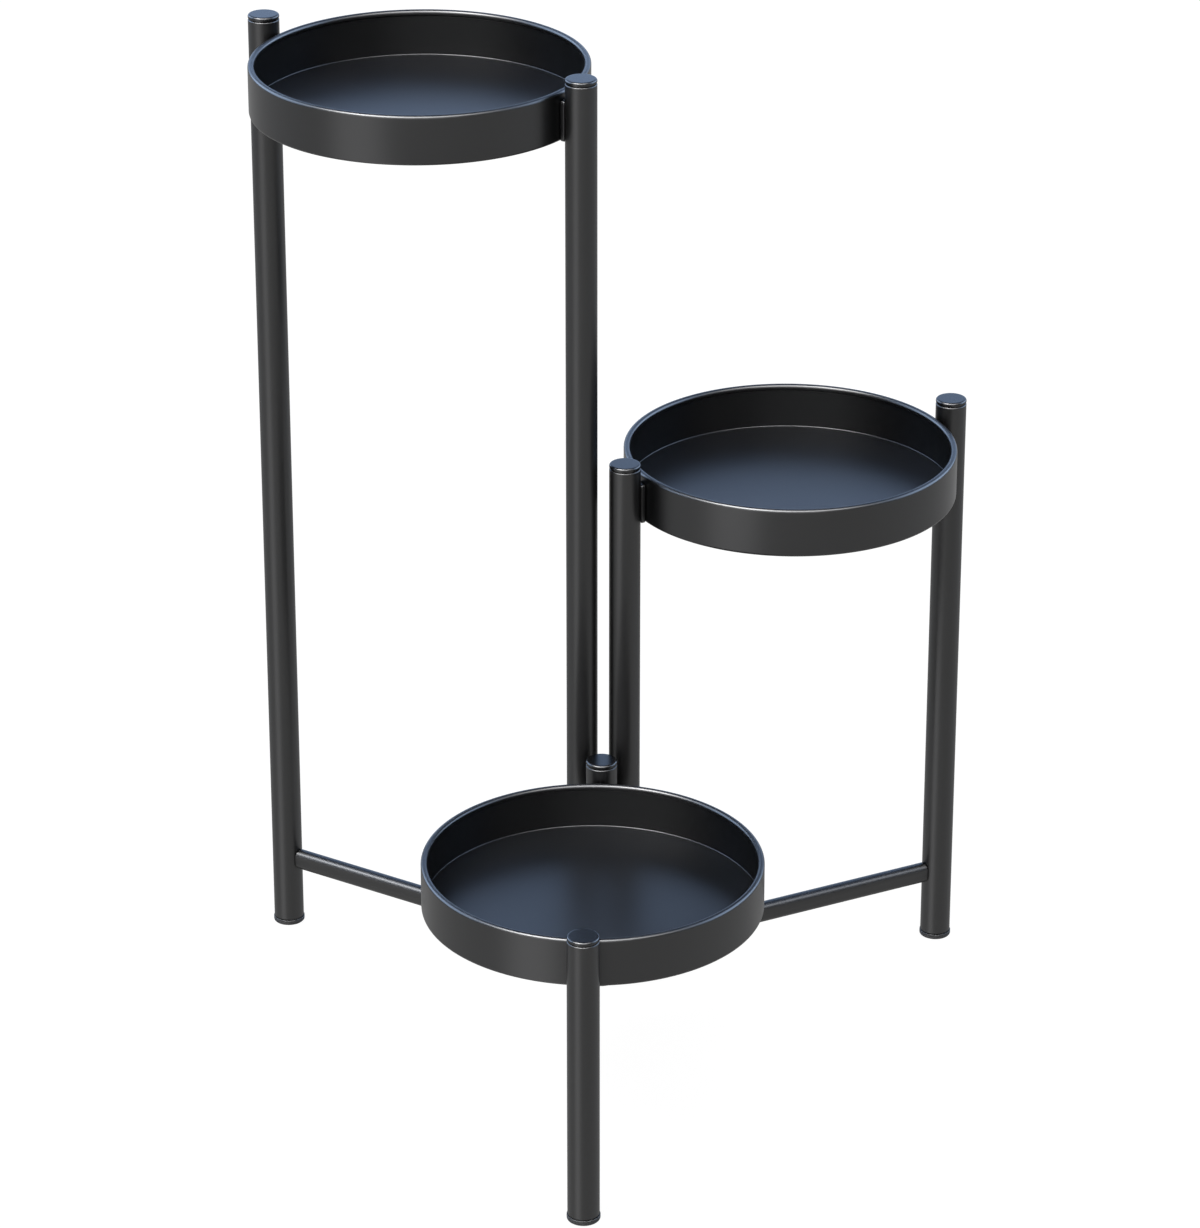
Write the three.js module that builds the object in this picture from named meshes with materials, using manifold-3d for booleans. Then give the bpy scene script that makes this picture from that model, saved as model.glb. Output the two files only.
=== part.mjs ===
// Tiered plant stand: three tray frames of different heights, each with two round posts,
// stand as a star and swing about their centre posts in two three-barrel hinge brackets.
// The outer posts stand on the floor, and carry the centre posts a little above it.
// Millimetres, +Z up, origin on the floor at the centre of the stand's plan.
import * as THREE from 'three';
import { mergeVertices } from 'three/addons/utils/BufferGeometryUtils.js';
import Module from 'manifold-3d';

const wasm = await Module();
wasm.setup();

// ---- Driving dimensions ----------------------------------------------------------------
// Each frame: height over its caps, height of its crossbar's middle, and the bearing in
// which it points away from the hub. The low frame's bar sits between the two brackets.
const FRAMES = [
  { name: 'tall', top: 711, bar: 54, bearing: 150 },
  { name: 'middle', top: 432, bar: 54, bearing: 30 },
  { name: 'low', top: 216, bar: 116, bearing: -90 },
];
const POST_SPACING = 263;
const HUB_SPACING = 30;
const HUB_ABOVE_FLOOR = 40;

const TUBE_RADIUS = 11;
const TUBE_WALL = 1.5;
const TUBE_EDGE = 0.8;
const TUBE_SIDES = 24;

const CAP_HEAD = 2.6;
const CAP_NECK = 0.6;
const CAP_NECK_RADIUS = 10.2;
const CAP_ROUND = 1.5;
const FOOT_RADIUS = 11.5;
const FOOT_HEIGHT = 4;
const FOOT_ROUND = 1.6;
const PLUG_DEPTH = 12;
const PLUG_TAPER = 0.8;

const TRAY_RADIUS = 117.5;
const TRAY_HEIGHT = 35;
const TRAY_SHEET = 1.6;
const TRAY_BELOW_TOP = 11;
const TRAY_SIDES = 48;
const RIM_WIDTH = 4;
const RIM_CURL = 3.4;
const FLOOR_FILLET = 2.6;
const BASE_ROUND = 2;

const LUG_WIDTH = 10;
const LUG_BELOW_RIM = 6;
const LUG_CORNER = 2;
const LUG_REACH = 3.4;

const BAR_HEIGHT = 15;
const BAR_WIDTH = 10;
const BAR_CORNER = 2.5;

const BARREL_RADIUS = 14.6;
const BARREL_BORE = 11.4;
const BARREL_HEIGHT = 24;
const BARREL_CHAMFER = 1;
const WEB_HEIGHT = 15;
const WEB_REACH = 12.8;
const WEB_HOLLOW = 8;
const WEB_BEVEL = 0.8;
const BRACKET_HEIGHTS = { lower: 80, upper: 152 };

const SCREW_RADIUS = 2.5;
const SCREW_LENGTH = 6.5;
const SCREW_CHAMFER = 0.7;
const SCREW_SOCKET = 1.45;
const SCREW_SOCKET_DEPTH = 3;
const BOSS_RADIUS = 5;
const BOSS_REACH = 18.2;
const SMALL_SIDES = 12;

const GAP = 0.3;

// ---- Places that follow from them --------------------------------------------------------
const BORE_RADIUS = TUBE_RADIUS - TUBE_WALL;
const PLUG_RADIUS = BORE_RADIUS - GAP;
const HUB_RADIUS = HUB_SPACING / Math.sqrt(3);
const TRAY_CENTRE = POST_SPACING / 2;
const REACH_FRONT = HUB_RADIUS + POST_SPACING + FOOT_RADIUS;
const REACH_BACK = (HUB_RADIUS + TRAY_CENTRE) * Math.sin(Math.PI / 6) + TRAY_RADIUS;
const HUB_Y = (REACH_FRONT - REACH_BACK) / 2;

// ---- Finishes ----------------------------------------------------------------------------
/** A finish with its own colour, roughness and share of metal. */
function finish(color, roughness, metalness) {
  return new THREE.MeshStandardMaterial({ color, roughness, metalness });
}

const TUBE_PAINT = finish(0x37383a, 0.42, 0.2);
const TRAY_PAINT = finish(0x303236, 0.38, 0.2);
const CAP_PLASTIC = finish(0x2c2f35, 0.36, 0);
const FOOT_PLASTIC = finish(0x17181a, 0.62, 0);
const BRACKET_PLASTIC = finish(0x232426, 0.5, 0);
const SCREW_STEEL = finish(0x44474b, 0.35, 0.9);

// ---- Forming -----------------------------------------------------------------------------
/** Turns a profile of [radius, height] points about the Z axis. */
function revolve(profile, sides) {
  const points = profile.map(([radius, height]) => new THREE.Vector2(radius, height));
  return new THREE.LatheGeometry(points, sides).rotateX(Math.PI / 2);
}

/** Points on the arc about a centre, from one angle to another, both in degrees. */
function arc(centreRadius, centreHeight, radius, from, to, steps) {
  return Array.from({ length: steps + 1 }, (_, step) => {
    const angle = THREE.MathUtils.degToRad(from + ((to - from) * step) / steps);
    return [centreRadius + radius * Math.cos(angle), centreHeight + radius * Math.sin(angle)];
  });
}

/** A plain round bar standing on the Z axis: a boss, or the form of a bore or seat. */
function roundBar(radius, bottom, top, sides) {
  return revolve([[0, bottom], [radius, bottom], [radius, top], [0, top]], sides);
}

/** A rectangle with rounded corners, centred on the origin. */
function roundedRectangle(width, height, corner) {
  const shape = new THREE.Shape();
  const x = width / 2 - corner;
  const y = height / 2 - corner;
  shape.absarc(x, y, corner, 0, Math.PI / 2, false);
  shape.absarc(-x, y, corner, Math.PI / 2, Math.PI, false);
  shape.absarc(-x, -y, corner, Math.PI, Math.PI * 1.5, false);
  shape.absarc(x, -y, corner, Math.PI * 1.5, Math.PI * 2, false);
  shape.closePath();
  return shape;
}

/** A bar of the given section that runs along X, with the section's height along Z. */
function barAlongX(section, from, to) {
  const depth = to - from;
  const bar = new THREE.ExtrudeGeometry(section, { depth, curveSegments: 3, bevelEnabled: false });
  return bar.rotateX(Math.PI / 2).rotateZ(Math.PI / 2).translate(from, 0, 0);
}

/** Joins a geometry's shared corners and reads it as a solid. */
function toSolid(geometry) {
  const bare = geometry.clone().deleteAttribute('normal').deleteAttribute('uv');
  const merged = mergeVertices(bare, 1e-4);
  const corners = merged.index.array;
  const triangles = [];
  for (let i = 0; i < corners.length; i += 3) {
    const [a, b, c] = corners.slice(i, i + 3);
    if (a !== b && b !== c && c !== a) triangles.push(a, b, c);
  }
  const vertProperties = new Float32Array(merged.attributes.position.array);
  const triVerts = new Uint32Array(triangles);
  return new wasm.Manifold(new wasm.Mesh({ numProp: 3, vertProperties, triVerts }));
}

/** Reads a solid back as a geometry. */
function toGeometry(solid) {
  const { vertProperties, triVerts } = solid.getMesh();
  const geometry = new THREE.BufferGeometry();
  geometry.setAttribute('position', new THREE.BufferAttribute(vertProperties, 3));
  geometry.setIndex(new THREE.BufferAttribute(triVerts, 1));
  geometry.computeVertexNormals();
  return geometry;
}

/** Cuts a geometry by others. */
function cut(geometry, ...cutters) {
  const solids = cutters.map(toSolid);
  return toGeometry(solids.reduce((left, cutter) => left.subtract(cutter), toSolid(geometry)));
}

/** Joins overlapping geometries into one. */
function join(geometries) {
  return toGeometry(geometries.map(toSolid).reduce((whole, more) => whole.add(more)));
}

/** Where a frame's centre post stands, measured from the hub's middle. */
function hubOffset(bearing) {
  const angle = THREE.MathUtils.degToRad(bearing);
  return new THREE.Vector3(HUB_RADIUS * Math.cos(angle), HUB_RADIUS * Math.sin(angle), 0);
}

function place(parent, name, geometry, material, { x = 0, y = 0, z = 0, turn = 0 }) {
  const mesh = new THREE.Mesh(geometry, material);
  mesh.name = name;
  mesh.position.set(x, y, z);
  mesh.rotation.z = turn;
  parent.add(mesh);
}

// ---- Posts, caps and feet ----------------------------------------------------------------
/** A round tube between two heights, its cut ends rounded on the outside. */
function postTube(bottom, top) {
  const edge = TUBE_RADIUS - TUBE_EDGE;
  return revolve([
    [BORE_RADIUS, bottom],
    ...arc(edge, bottom + TUBE_EDGE, TUBE_EDGE, -90, 0, 2),
    ...arc(edge, top - TUBE_EDGE, TUBE_EDGE, 0, 90, 2),
    [BORE_RADIUS, top],
    [BORE_RADIUS, bottom],
  ], TUBE_SIDES);
}

/** The cap that plugs a post's top: stem, narrow neck over the tube's end, flat round head. */
function postCap() {
  const headRim = TUBE_RADIUS - CAP_ROUND;
  return revolve([
    [0, -CAP_HEAD - CAP_NECK - PLUG_DEPTH],
    [PLUG_RADIUS - PLUG_TAPER, -CAP_HEAD - CAP_NECK - PLUG_DEPTH],
    [PLUG_RADIUS, -CAP_HEAD - CAP_NECK - PLUG_DEPTH + PLUG_TAPER],
    [PLUG_RADIUS, -CAP_HEAD - CAP_NECK],
    [CAP_NECK_RADIUS, -CAP_HEAD - CAP_NECK],
    [CAP_NECK_RADIUS, -CAP_HEAD],
    [TUBE_RADIUS, -CAP_HEAD],
    ...arc(headRim, -CAP_ROUND, CAP_ROUND, 0, 90, 2),
    [0, 0],
  ], TUBE_SIDES);
}

/** The foot that plugs a post's bottom: flat base, rounded edge, stem inside the tube. */
function postFoot() {
  return revolve([
    [0, 0],
    ...arc(FOOT_RADIUS - FOOT_ROUND, FOOT_ROUND, FOOT_ROUND, -90, 0, 2),
    [FOOT_RADIUS, FOOT_HEIGHT],
    [PLUG_RADIUS, FOOT_HEIGHT],
    [PLUG_RADIUS, FOOT_HEIGHT + PLUG_DEPTH - PLUG_TAPER],
    [PLUG_RADIUS - PLUG_TAPER, FOOT_HEIGHT + PLUG_DEPTH],
    [0, FOOT_HEIGHT + PLUG_DEPTH],
  ], TUBE_SIDES);
}

// ---- Tray and what holds it ----------------------------------------------------------------
/** A drawn sheet pan: rounded base edge, straight wall, curled rim, filleted flat floor. */
function trayPan() {
  const rim = RIM_WIDTH / 2;
  const wall = TRAY_RADIUS - TRAY_SHEET;
  return revolve([
    [0, 0],
    ...arc(TRAY_RADIUS - BASE_ROUND, BASE_ROUND, BASE_ROUND, -90, 0, 2),
    ...arc(TRAY_RADIUS - rim, TRAY_HEIGHT - rim, rim, 0, 180, 4),
    [TRAY_RADIUS - RIM_WIDTH, TRAY_HEIGHT - RIM_CURL],
    [wall, TRAY_HEIGHT - RIM_CURL - TRAY_SHEET],
    ...arc(wall - FLOOR_FILLET, TRAY_SHEET + FLOOR_FILLET, FLOOR_FILLET, 0, -90, 2),
    [0, TRAY_SHEET],
  ], TRAY_SIDES);
}

/** The lug that carries a tray on the post at the origin, hollowed to seat on both round walls. */
function trayLug() {
  const height = TRAY_HEIGHT - LUG_BELOW_RIM;
  const middle = (TUBE_RADIUS + TRAY_CENTRE - TRAY_RADIUS) / 2;
  const section = roundedRectangle(LUG_WIDTH, height, LUG_CORNER);
  const block = barAlongX(section, middle - LUG_REACH, middle + LUG_REACH);
  const postSeat = roundBar(TUBE_RADIUS + GAP, -height, height, TUBE_SIDES);
  const traySeat = roundBar(TRAY_RADIUS + GAP, -height, height, TRAY_SIDES);
  return cut(block, postSeat, traySeat.translate(TRAY_CENTRE, 0, 0)).translate(0, 0, height / 2);
}

/** The flat bar between the two posts, its ends hollowed to fit round them. */
function crossbar() {
  const bar = barAlongX(roundedRectangle(BAR_WIDTH, BAR_HEIGHT, BAR_CORNER), 0, POST_SPACING);
  const seat = () => roundBar(TUBE_RADIUS + GAP, -BAR_HEIGHT, BAR_HEIGHT, TUBE_SIDES);
  return cut(bar, seat(), seat().translate(POST_SPACING, 0, 0));
}

/** One frame in its own axes: centre post at the origin, outer post along +X. */
function tierFrame({ name, top, bar, bearing }) {
  const frame = new THREE.Group();
  frame.position.copy(hubOffset(bearing));
  frame.position.y += HUB_Y;
  frame.rotation.z = THREE.MathUtils.degToRad(bearing);
  const trayBase = top - TRAY_BELOW_TOP - TRAY_HEIGHT;
  const tubeTop = top - CAP_HEAD - CAP_NECK - GAP;
  const sides = [
    { side: 'centre', x: 0, turn: 0, base: HUB_ABOVE_FLOOR },
    { side: 'outer', x: POST_SPACING, turn: Math.PI, base: 0 },
  ];
  for (const { side, x, turn, base } of sides) {
    const tube = postTube(base + FOOT_HEIGHT + GAP, tubeTop);
    place(frame, `${name}_${side}_post`, tube, TUBE_PAINT, { x });
    place(frame, `${name}_${side}_cap`, postCap(), CAP_PLASTIC, { x, z: top });
    place(frame, `${name}_${side}_foot`, postFoot(), FOOT_PLASTIC, { x, z: base });
    place(frame, `${name}_${side}_tray_lug`, trayLug(), TRAY_PAINT, { x, z: trayBase, turn });
  }
  place(frame, `${name}_tray`, trayPan(), TRAY_PAINT, { x: TRAY_CENTRE, z: trayBase });
  place(frame, `${name}_crossbar`, crossbar(), TUBE_PAINT, { z: bar });
  return frame;
}

// ---- Hinge brackets --------------------------------------------------------------------------
/** Plan of the web: an arc round each post, and a hollow arc between each two. */
function webOutline() {
  const hollowBearing = Math.PI / 3;
  const midway = HUB_RADIUS * Math.cos(hollowBearing);
  const hollowReach = midway + Math.sqrt((WEB_REACH + WEB_HOLLOW) ** 2 - (HUB_SPACING / 2) ** 2);
  const sweep = Math.atan2(
    hollowReach * Math.sin(hollowBearing),
    hollowReach * Math.cos(hollowBearing) - HUB_RADIUS,
  );
  const shape = new THREE.Shape();
  for (const { bearing } of [...FRAMES].reverse()) {
    const out = THREE.MathUtils.degToRad(bearing);
    const post = [HUB_RADIUS * Math.cos(out), HUB_RADIUS * Math.sin(out)];
    shape.absarc(...post, WEB_REACH, out - sweep, out + sweep, false);
    const between = out + hollowBearing;
    const hollow = [hollowReach * Math.cos(between), hollowReach * Math.sin(between)];
    const hollowFrom = out + sweep + Math.PI;
    const hollowTo = between + hollowBearing - sweep + Math.PI;
    shape.absarc(...hollow, WEB_HOLLOW, hollowFrom, hollowTo, true);
  }
  shape.closePath();
  return shape;
}

/** The web that joins the three barrels, its edges bevelled, centred on the hub. */
function bracketWeb() {
  return new THREE.ExtrudeGeometry(webOutline(), {
    depth: WEB_HEIGHT - 2 * WEB_BEVEL,
    curveSegments: 3,
    bevelSize: WEB_BEVEL,
    bevelOffset: -WEB_BEVEL,
    bevelThickness: WEB_BEVEL,
    bevelSegments: 1,
  }).translate(0, 0, WEB_BEVEL - WEB_HEIGHT / 2);
}

/** One barrel round a post, its outer edges chamfered, before it is bored. */
function barrel() {
  const half = BARREL_HEIGHT / 2;
  return revolve([
    [0, -half],
    [BARREL_RADIUS - BARREL_CHAMFER, -half],
    [BARREL_RADIUS, BARREL_CHAMFER - half],
    [BARREL_RADIUS, half - BARREL_CHAMFER],
    [BARREL_RADIUS - BARREL_CHAMFER, half],
    [0, half],
  ], TUBE_SIDES);
}

/** Lays a form that stands on the Z axis out from the tall centre post, away from the hub. */
function outFromTallPost(geometry) {
  const { bearing } = FRAMES[0];
  const { x, y } = hubOffset(bearing);
  return geometry.rotateY(Math.PI / 2).rotateZ(THREE.MathUtils.degToRad(bearing)).translate(x, y, 0);
}

/** The bracket: three bored barrels on one web, and a boss for the screw that holds its height. */
function hingeBracket() {
  const boss = outFromTallPost(roundBar(BOSS_RADIUS, BARREL_BORE + GAP, BOSS_REACH, SMALL_SIDES));
  const screwHole = outFromTallPost(roundBar(SCREW_RADIUS + GAP, 0, 2 * BOSS_REACH, SMALL_SIDES));
  const bodies = [bracketWeb(), boss];
  const bores = [screwHole];
  for (const { bearing } of FRAMES) {
    const { x, y } = hubOffset(bearing);
    bodies.push(barrel().translate(x, y, 0));
    bores.push(roundBar(BARREL_BORE, -BARREL_HEIGHT, BARREL_HEIGHT, TUBE_SIDES).translate(x, y, 0));
  }
  return cut(join(bodies), ...bores);
}

/** The headless screw in the boss: tip chamfered, six-sided socket in the other end. */
function setScrew() {
  const tip = TUBE_RADIUS + GAP;
  const end = tip + SCREW_LENGTH;
  const body = revolve([
    [0, tip],
    [SCREW_RADIUS - SCREW_CHAMFER, tip],
    [SCREW_RADIUS, tip + SCREW_CHAMFER],
    [SCREW_RADIUS, end],
    [0, end],
  ], SMALL_SIDES);
  const socket = roundBar(SCREW_SOCKET, end - SCREW_SOCKET_DEPTH, end + SCREW_SOCKET_DEPTH, 6);
  return outFromTallPost(cut(body, socket));
}

// ---- The stand -------------------------------------------------------------------------------
const stand = new THREE.Group();
FRAMES.forEach((frame) => stand.add(tierFrame(frame)));
for (const [level, z] of Object.entries(BRACKET_HEIGHTS)) {
  place(stand, `${level}_hinge_bracket`, hingeBracket(), BRACKET_PLASTIC, { y: HUB_Y, z });
  place(stand, `${level}_bracket_screw`, setScrew(), SCREW_STEEL, { y: HUB_Y, z });
}

export default stand;
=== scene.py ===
"""Dresses the tiered plant stand: finely formed pieces, finishes, floor, light and camera."""
import itertools
import math

import bmesh
import bpy
from bpy.props import FloatProperty, FloatVectorProperty, IntProperty, PointerProperty
from mathutils import Matrix, Vector


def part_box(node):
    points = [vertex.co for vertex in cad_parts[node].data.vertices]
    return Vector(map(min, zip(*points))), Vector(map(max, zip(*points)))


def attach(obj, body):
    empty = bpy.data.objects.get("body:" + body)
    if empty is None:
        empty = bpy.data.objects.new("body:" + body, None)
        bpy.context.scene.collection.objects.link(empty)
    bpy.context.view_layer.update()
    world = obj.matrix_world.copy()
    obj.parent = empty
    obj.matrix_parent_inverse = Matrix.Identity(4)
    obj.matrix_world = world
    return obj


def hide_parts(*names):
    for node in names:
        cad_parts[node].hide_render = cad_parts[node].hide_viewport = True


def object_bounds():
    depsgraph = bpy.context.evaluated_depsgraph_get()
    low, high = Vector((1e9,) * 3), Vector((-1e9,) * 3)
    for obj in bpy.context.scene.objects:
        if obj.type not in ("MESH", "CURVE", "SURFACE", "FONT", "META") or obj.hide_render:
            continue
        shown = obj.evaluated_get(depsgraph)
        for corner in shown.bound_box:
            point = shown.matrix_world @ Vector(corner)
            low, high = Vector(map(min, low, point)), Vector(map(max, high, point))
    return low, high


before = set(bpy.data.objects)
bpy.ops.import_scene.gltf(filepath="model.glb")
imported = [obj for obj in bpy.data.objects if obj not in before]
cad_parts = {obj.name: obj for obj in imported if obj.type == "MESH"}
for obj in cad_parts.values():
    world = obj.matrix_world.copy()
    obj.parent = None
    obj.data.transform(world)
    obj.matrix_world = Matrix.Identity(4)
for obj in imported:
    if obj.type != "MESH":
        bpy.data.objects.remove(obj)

bl_info = {
    "name": "Tiered plant stand",
    "version": (1, 0, 0),
    "blender": (4, 5, 0),
    "location": "3D View > Sidebar > Plant Stand",
    "description": "Builds the pieces of a three-tier plant stand, their finishes and the studio",
    "category": "Object",
}

CAD_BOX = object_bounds()

TIERS = ("tall", "middle", "low")
SIDES = ("centre", "outer")
BRACKET_LEVELS = ("lower", "upper")
ARC_STEPS = 8  # pieces of a rounded corner
END_STEPS = 4  # pieces of a rounding at the end of a bar or lug
HOLDING_RING = 0.0003  # from a rounding to the extra point that keeps the flat beside it flat
MERGE_DISTANCE = 1e-6
SHARP_ANGLE = math.radians(32)
HEX_SIDES = 6


# ---- Where things are ------------------------------------------------------------------------
def centre_of(node):
    """Middle of a node's box."""
    low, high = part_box(node)
    return (low + high) / 2


def width_of(node):
    """Width of a round upright node."""
    low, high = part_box(node)
    return high.x - low.x


def bottom_of(node):
    """Height of a node's lowest point."""
    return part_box(node)[0].z


def height_of(node):
    """How tall a node is."""
    low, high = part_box(node)
    return high.z - low.z


def hub():
    """Middle of the three centre posts, on the floor."""
    posts = [centre_of(f"{tier}_centre_post") for tier in TIERS]
    middle = sum(posts, Vector()) / len(posts)
    return Vector((middle.x, middle.y, 0.0))


def run_of(tier):
    """From a frame's centre post to its outer post."""
    run = centre_of(f"{tier}_outer_post") - centre_of(f"{tier}_centre_post")
    return Vector((run.x, run.y, 0.0))


def bearing_of(tier):
    """The way in which a frame points out from the hub."""
    run = run_of(tier)
    return math.atan2(run.y, run.x)


def on_floor(node):
    """The point of the floor under a node's middle."""
    middle = centre_of(node)
    return Vector((middle.x, middle.y, 0.0))


def at_height(point, node):
    """A point of the floor, raised to the height of a node's middle."""
    return Vector((point.x, point.y, centre_of(node).z))


def base_of(node):
    """The middle of a node's base."""
    return on_floor(node) + Vector((0, 0, bottom_of(node)))


POST_RADIUS = width_of("tall_centre_post") / 2
FOOT_RADIUS = width_of("tall_outer_foot") / 2
TRAY_RADIUS = width_of("tall_tray") / 2
POST_SPACING = run_of("tall").length
HUB_SPACING = (on_floor("middle_centre_post") - on_floor("tall_centre_post")).length
HUB_RADIUS = HUB_SPACING / math.sqrt(3)


# ---- Sizes and finishes that a user would change ---------------------------------------------
def length(name, description, millimetres):
    """A length, its default given in millimetres."""
    return FloatProperty(
        name=name,
        description=description,
        default=millimetres / 1000,
        min=0.0,
        precision=5,
        unit="LENGTH",
        subtype="DISTANCE",
    )


def share(name, description, default):
    """A share from 0 to 1."""
    return FloatProperty(
        name=name, description=description, default=default, min=0.0, max=1.0, subtype="FACTOR"
    )


def colour(name, description, default):
    """A linear colour."""
    return FloatVectorProperty(
        name=name,
        description=description,
        default=default,
        size=3,
        min=0.0,
        max=1.0,
        subtype="COLOR",
    )


def sides(name, description, default):
    """A number of faces round a turned form."""
    return IntProperty(name=name, description=description, default=default, min=12, max=512)


class StandSizes(bpy.types.PropertyGroup):
    """Sizes of the stand's details; the main sizes come from the frame."""

    post_sides: sides("Post sides", "Faces round a post, cap or foot", 64)
    tray_sides: sides("Tray sides", "Faces round a tray", 240)
    small_sides: sides("Small sides", "Faces round a screw or boss", 32)
    tube_wall: length("Tube wall", "Wall thickness of the posts", 1.5)
    tube_edge: length("Tube edge", "Rounding of a post's cut ends", 0.8)
    inner_edge: length("Inner edge", "Rounding of small inner edges", 0.3)
    play: length("Play", "Space between parts that touch", 0.3)
    cap_head: length("Cap head", "Thickness of a cap's head", 2.6)
    cap_neck: length("Cap neck", "Height of the groove under the head", 0.6)
    cap_groove: length("Cap groove", "How far the neck stands in from the tube", 0.8)
    cap_rounding: length("Cap rounding", "Rounding of a cap's top edge", 1.5)
    cap_lip: length("Cap lip", "Rounding under a cap's head", 0.4)
    plug_taper: length("Plug taper", "Bevel at the end of a plug's stem", 0.8)
    foot_height: length("Foot height", "Height of a foot under its post", 4.0)
    foot_rounding: length("Foot rounding", "Rounding of a foot's base", 1.6)
    tray_sheet: length("Tray sheet", "Thickness of the trays' sheet", 1.6)
    rim_width: length("Rim width", "Width of a tray's rolled rim", 4.6)
    rim_curl: length("Rim curl", "Depth of a tray's rolled rim", 3.4)
    rim_edge: length("Rim edge", "Rounding of the rim's inner edge", 0.5)
    floor_fillet: length("Floor fillet", "Corner between a tray's floor and wall", 0.5)
    base_rounding: length("Base rounding", "Rounding of a tray's outer base edge", 2.0)
    lug_width: length("Lug width", "Width of the lug between tray and post", 10.0)
    lug_corner: length("Lug corner", "Rounding of a lug's corners", 2.0)
    bar_width: length("Bar width", "Width of a crossbar", 10.0)
    bar_corner: length("Bar corner", "Rounding of a crossbar's corners", 4.5)
    end_rounding: length("End rounding", "Rounding of the ends of crossbars and lugs", 0.7)
    barrel_wall: length("Barrel wall", "Wall of a bracket's barrel", 3.2)
    barrel_bore: length("Barrel bore", "Radius of a bracket's bore", 11.4)
    barrel_rounding: length("Barrel rounding", "Rounding of a barrel's outer edges", 1.0)
    web_height: length("Web height", "Height of the web between the barrels", 15.0)
    web_reach: length("Web reach", "How far the web reaches round each post", 12.8)
    web_hollow: length("Web hollow", "Radius of the hollows between the barrels", 8.0)
    web_bevel: length("Web bevel", "Rounding of the web's edges", 0.8)
    boss_radius: length("Boss radius", "Radius of the screw's boss", 5.0)
    boss_reach: length("Boss reach", "Reach of the boss from the post's middle", 18.2)
    boss_rounding: length("Boss rounding", "Rounding of the boss's outer edge", 0.8)
    screw_radius: length("Screw radius", "Radius of the bracket screws", 2.5)
    screw_length: length("Screw length", "Length of the bracket screws", 6.5)
    screw_chamfer: length("Screw chamfer", "Chamfer of the screws' tips", 0.7)
    socket_radius: length("Socket radius", "Radius over the corners of the screws' sockets", 1.45)
    socket_depth: length("Socket depth", "Depth of the screws' sockets", 3.0)


class StandFinish(bpy.types.PropertyGroup):
    """Colours and gloss of the stand's finishes."""

    post_colour: colour("Post colour", "Powder coat of posts and bars", (0.0040, 0.0040, 0.0041))
    post_roughness: share("Post roughness", "Roughness of the posts' coat", 0.35)
    tray_colour: colour("Tray colour", "Powder coat of the trays", (0.0030, 0.0031, 0.0034))
    tray_roughness: share("Tray roughness", "Roughness of the trays' coat", 0.31)
    # Partly dust, partly a painted sheen: this film lightens the trays' floors and tints them
    # blue.
    tray_film: share("Tray film", "Fine dust that lies evenly on the trays' floors", 0.04)
    cap_colour: colour("Cap colour", "Moulded caps", (0.0040, 0.0043, 0.0050))
    cap_roughness: share("Cap roughness", "Roughness of the caps", 0.24)
    foot_colour: colour("Foot colour", "Moulded feet", (0.0030, 0.0030, 0.0032))
    foot_roughness: share("Foot roughness", "Roughness of the feet", 0.60)
    bracket_colour: colour("Bracket colour", "Moulded hinge brackets", (0.0100, 0.0100, 0.0105))
    bracket_roughness: share("Bracket roughness", "Roughness of the brackets", 0.50)
    screw_colour: colour("Screw colour", "Blackened steel of the screws", (0.10, 0.10, 0.11))
    screw_roughness: share("Screw roughness", "Roughness of the screws", 0.35)
    peel_size: length("Orange peel size", "Spacing of the coat's fine waves", 1.6)
    peel_height: length("Orange peel height", "Height of the coat's fine waves", 0.004)


# ---- Node trees written as expressions -------------------------------------------------------
class Wire:
    """An output of a node that Python arithmetic can use; each sum adds its Math node."""

    def __init__(self, tree, socket):
        self.tree = tree
        self.socket = socket

    def __add__(self, other):
        return self.tree.maths("ADD", self, other)

    def __radd__(self, other):
        return self.tree.maths("ADD", other, self)

    def __sub__(self, other):
        return self.tree.maths("SUBTRACT", self, other)

    def __rsub__(self, other):
        return self.tree.maths("SUBTRACT", other, self)

    def __mul__(self, other):
        return self.tree.maths("MULTIPLY", self, other)

    def __rmul__(self, other):
        return self.tree.maths("MULTIPLY", other, self)

    def __truediv__(self, other):
        return self.tree.maths("DIVIDE", self, other)

    def __pow__(self, other):
        return self.tree.maths("POWER", self, other)


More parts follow.
